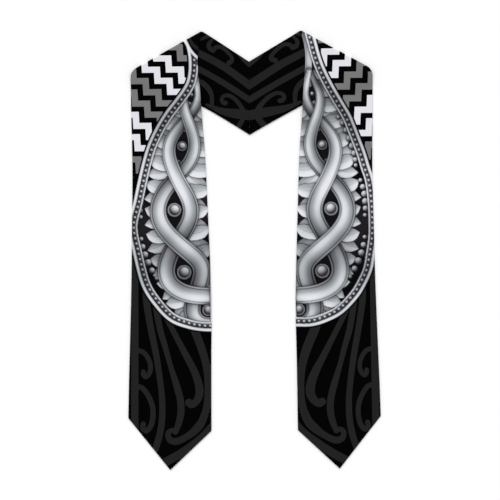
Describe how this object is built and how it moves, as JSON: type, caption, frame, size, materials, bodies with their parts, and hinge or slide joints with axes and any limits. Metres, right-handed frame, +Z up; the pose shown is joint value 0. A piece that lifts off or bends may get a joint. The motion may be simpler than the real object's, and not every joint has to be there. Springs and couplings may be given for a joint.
{
  "type": "graduation stole",
  "caption": "Flat-lying graduation stole: two lined, printed satin strips with pointed ends, folded at the shoulders and mitred at the centre back.",
  "frame": {"origin": "centre of the stole's outline, on the plane that it lies on", "axes": "+Z up from the floor, +Y towards the neck, away from the pointed ends, +X to the right as seen from above with the neck at the top"},
  "size_m": [0.449, 0.7792, 0.0059],
  "materials": {
    "face_satin": "polyester satin, printed in black, silver greys and white",
    "lining_satin": "polyester satin, black, printed with dark grey scrolls in the neck band"
  },
  "bodies": {
    "root": {"face_left": "face_satin", "face_right": "face_satin", "lining_left": "lining_satin", "lining_right": "lining_satin"}
  },
  "joints": []
}
